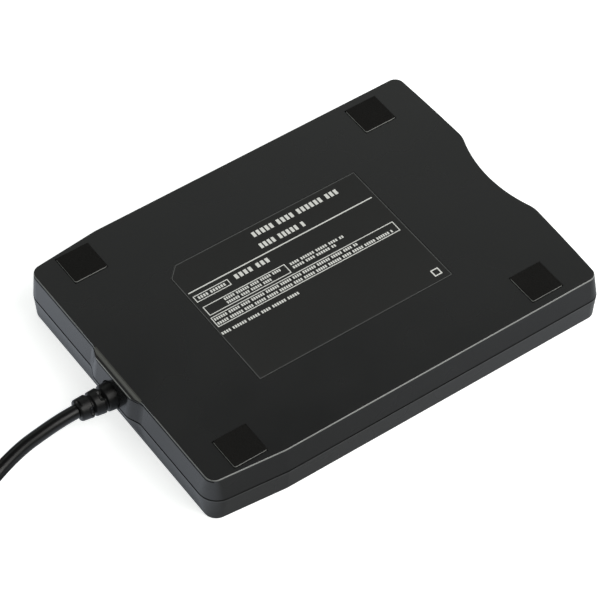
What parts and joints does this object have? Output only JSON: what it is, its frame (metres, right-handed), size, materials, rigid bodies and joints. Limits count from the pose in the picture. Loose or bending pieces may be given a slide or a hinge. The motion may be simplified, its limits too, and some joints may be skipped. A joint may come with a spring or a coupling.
{
  "type": "external floppy disk drive",
  "caption": "Slim external drive for 90 mm floppy disks, lying on its top cover, with slot flap, eject slider, sprung heads, spindle motor and a coiled plug lead.",
  "frame": {"origin": "centre of the case's footprint on the surface it lies on; the drive lies on its top cover with the underside and feet up", "axes": "+Z out of the underside, -Y out of the front with the disk slot and the eject button, +Y out of the back where the lead leaves, +X across; in use the drive is turned over, so +Z points down"},
  "size_m": [0.1542, 0.2651, 0.019],
  "materials": {
    "case_abs": "satin charcoal-black moulded ABS",
    "flap_abs": "fine-grained black ABS",
    "button_abs": "smooth black ABS",
    "clear_acrylic": "clear moulded acrylic",
    "foam_rubber": "near-black cellular rubber",
    "label_film": "charcoal printed film",
    "zinc_screw": "zinc-plated",
    "spring_steel": "drawn wire",
    "zinc_sheet": "zinc-plated sheet",
    "bright_sheet": "bright stainless sheet",
    "lever_pom": "black acetal",
    "board_green": "green solder mask on glass fibre",
    "chip_epoxy": "black moulding epoxy",
    "led_resin": "green tinted resin",
    "switch_body": "black switch plastic",
    "plunger_pom": "white acetal",
    "bronze_sleeve": "sintered bronze",
    "lamination": "varnished silicon steel",
    "copper_wire": "enamelled copper wire",
    "rotor_steel": "plated steel cup",
    "ferrite": "bonded ferrite",
    "hub_steel": "polished steel",
    "ground_steel": "ground steel",
    "sensor_body": "black sensor plastic",
    "motor_can": "plated can",
    "carriage_pom": "glass-filled grey-black plastic",
    "head_ceramic": "ground ceramic",
    "spring_sheet": "spring steel sheet",
    "polyimide": "amber polyimide",
    "ribbon_film": "white flat cable",
    "socket_plastic": "ivory socket plastic",
    "wire_pvc": "coloured wire jackets",
    "relief_pvc": "matt black soft PVC",
    "cord_pvc": "satin black PVC jacket",
    "tie_pvc": "black hook-and-loop strap",
    "nickel_shell": "nickel-plated sheet",
    "tongue_plastic": "white insulator",
    "gilt_contact": "gilt contact"
  },
  "bodies": {
    "case": {"top_cover": "case_abs", "bottom_cover": "case_abs", "light_pipe": "clear_acrylic", "feet": "foam_rubber", "label_plate": "label_film", "case_screws": "zinc_screw", "chassis_screws": "zinc_screw", "board_screws": "zinc_screw", "flap_spring": "spring_steel", "slider_springs": "spring_steel", "lever_spring": "spring_steel", "chassis": "zinc_sheet", "shield_cover": "bright_sheet", "main_board": "board_green", "front_board": "board_green", "motor_board": "board_green", "bridge_board": "board_green", "board_components": "chip_epoxy", "bridge_components": "chip_epoxy", "status_led": "led_resin", "disk_switches": "switch_body", "spindle_bearing": "bronze_sleeve", "stator_core": "lamination", "stator_coils": "copper_wire", "position_sensors": "sensor_body", "stepper_motor": "motor_can", "stepper_bracket": "zinc_sheet", "guide_rods": "ground_steel", "rod_clamps": "lever_pom", "head_ribbon": "polyimide", "drive_ribbon": "ribbon_film", "ribbon_sockets": "socket_plastic", "cable_wires": "wire_pvc", "strain_relief": "relief_pvc", "usb_cord": "cord_pvc", "cord_coil": "cord_pvc", "cord_tail": "cord_pvc", "cord_tie": "tie_pvc", "usb_plug_grip": "relief_pvc", "usb_plug_shell": "nickel_shell", "usb_plug_tongue": "tongue_plastic", "usb_plug_contacts": "gilt_contact"},
    "slot_flap": {"slot_flap": "flap_abs"},
    "slider": {"slider_plate": "zinc_sheet", "eject_button": "button_abs"},
    "disk_holder": {"disk_carrier": "bright_sheet"},
    "latch_lever": {"latch_lever": "lever_pom"},
    "spindle": {"spindle_rotor": "rotor_steel", "rotor_magnet": "ferrite", "spindle_hub": "hub_steel", "spindle_shaft": "ground_steel", "drive_pin": "ground_steel"},
    "lead_screw": {"lead_screw": "ground_steel"},
    "carriage": {"head_carriage": "carriage_pom", "lower_head": "head_ceramic"},
    "head_arm": {"upper_head_arm": "spring_sheet", "upper_head": "head_ceramic"},
    "plunger_1": {"switch_plunger_1": "plunger_pom"},
    "plunger_2": {"switch_plunger_2": "plunger_pom"},
    "plunger_3": {"switch_plunger_3": "plunger_pom"}
  },
  "joints": [
    {"name": "flap_swing", "type": "hinge", "parent": "case", "child": "slot_flap", "pos_m": [0, -0.06591, 0.00315], "axis": [-1, 0, 0], "range_deg": [0, 82], "stiffness_Nm_per_rad": 0.0002, "springref_deg": -34.38},
    {"name": "eject", "type": "slide", "parent": "case", "child": "slider", "axis": [0, -1, 0], "range_m": [0, 0.005], "deforming": ["slider_springs"]},
    {"name": "disk_load", "type": "slide", "parent": "case", "child": "disk_holder", "axis": [0, 0, 1], "range_m": [0, 0.0021]},
    {"name": "latch_turn", "type": "hinge", "parent": "case", "child": "latch_lever", "pos_m": [-0.041, 0.03, 0.0102], "axis": [0, 0, 1], "range_deg": [0, 58.1]},
    {"name": "spindle_spin", "type": "hinge", "parent": "case", "child": "spindle", "pos_m": [0, -0.018, 0.011], "axis": [0, 0, 1], "continuous": true},
    {"name": "track_seek", "type": "slide", "parent": "case", "child": "carriage", "axis": [0, -1, 0], "range_m": [0, 0.01481], "deforming": ["head_ribbon"]},
    {"name": "screw_turn", "type": "hinge", "parent": "case", "child": "lead_screw", "pos_m": [0.017, 0.02, 0.0106], "axis": [0, -1, 0], "range_deg": [0, 1423]},
    {"name": "arm_lower", "type": "hinge", "parent": "carriage", "child": "head_arm", "pos_m": [0, 0.046, 0.0019], "axis": [-1, 0, 0], "range_deg": [0, 8.45]},
    {"name": "switch_press_1", "type": "slide", "parent": "case", "child": "plunger_1", "axis": [0, 0, 1], "range_m": [0, 0.0014], "stiffness_N_per_m": 60, "springref_m": -0.0006},
    {"name": "switch_press_2", "type": "slide", "parent": "case", "child": "plunger_2", "axis": [0, 0, 1], "range_m": [0, 0.0014], "stiffness_N_per_m": 60, "springref_m": -0.0006},
    {"name": "switch_press_3", "type": "slide", "parent": "case", "child": "plunger_3", "axis": [0, 0, 1], "range_m": [0, 0.0014], "stiffness_N_per_m": 60, "springref_m": -0.0006}
  ],
  "couplings": [
    {"joint": "disk_load", "follows": "eject", "ratio": 0.42},
    {"joint": "latch_turn", "follows": "eject", "rad_per_m": 202.46},
    {"joint": "arm_lower", "follows": "eject", "rad_per_m": 29.322},
    {"joint": "screw_turn", "follows": "track_seek", "rad_per_m": 1675.5}
  ]
}
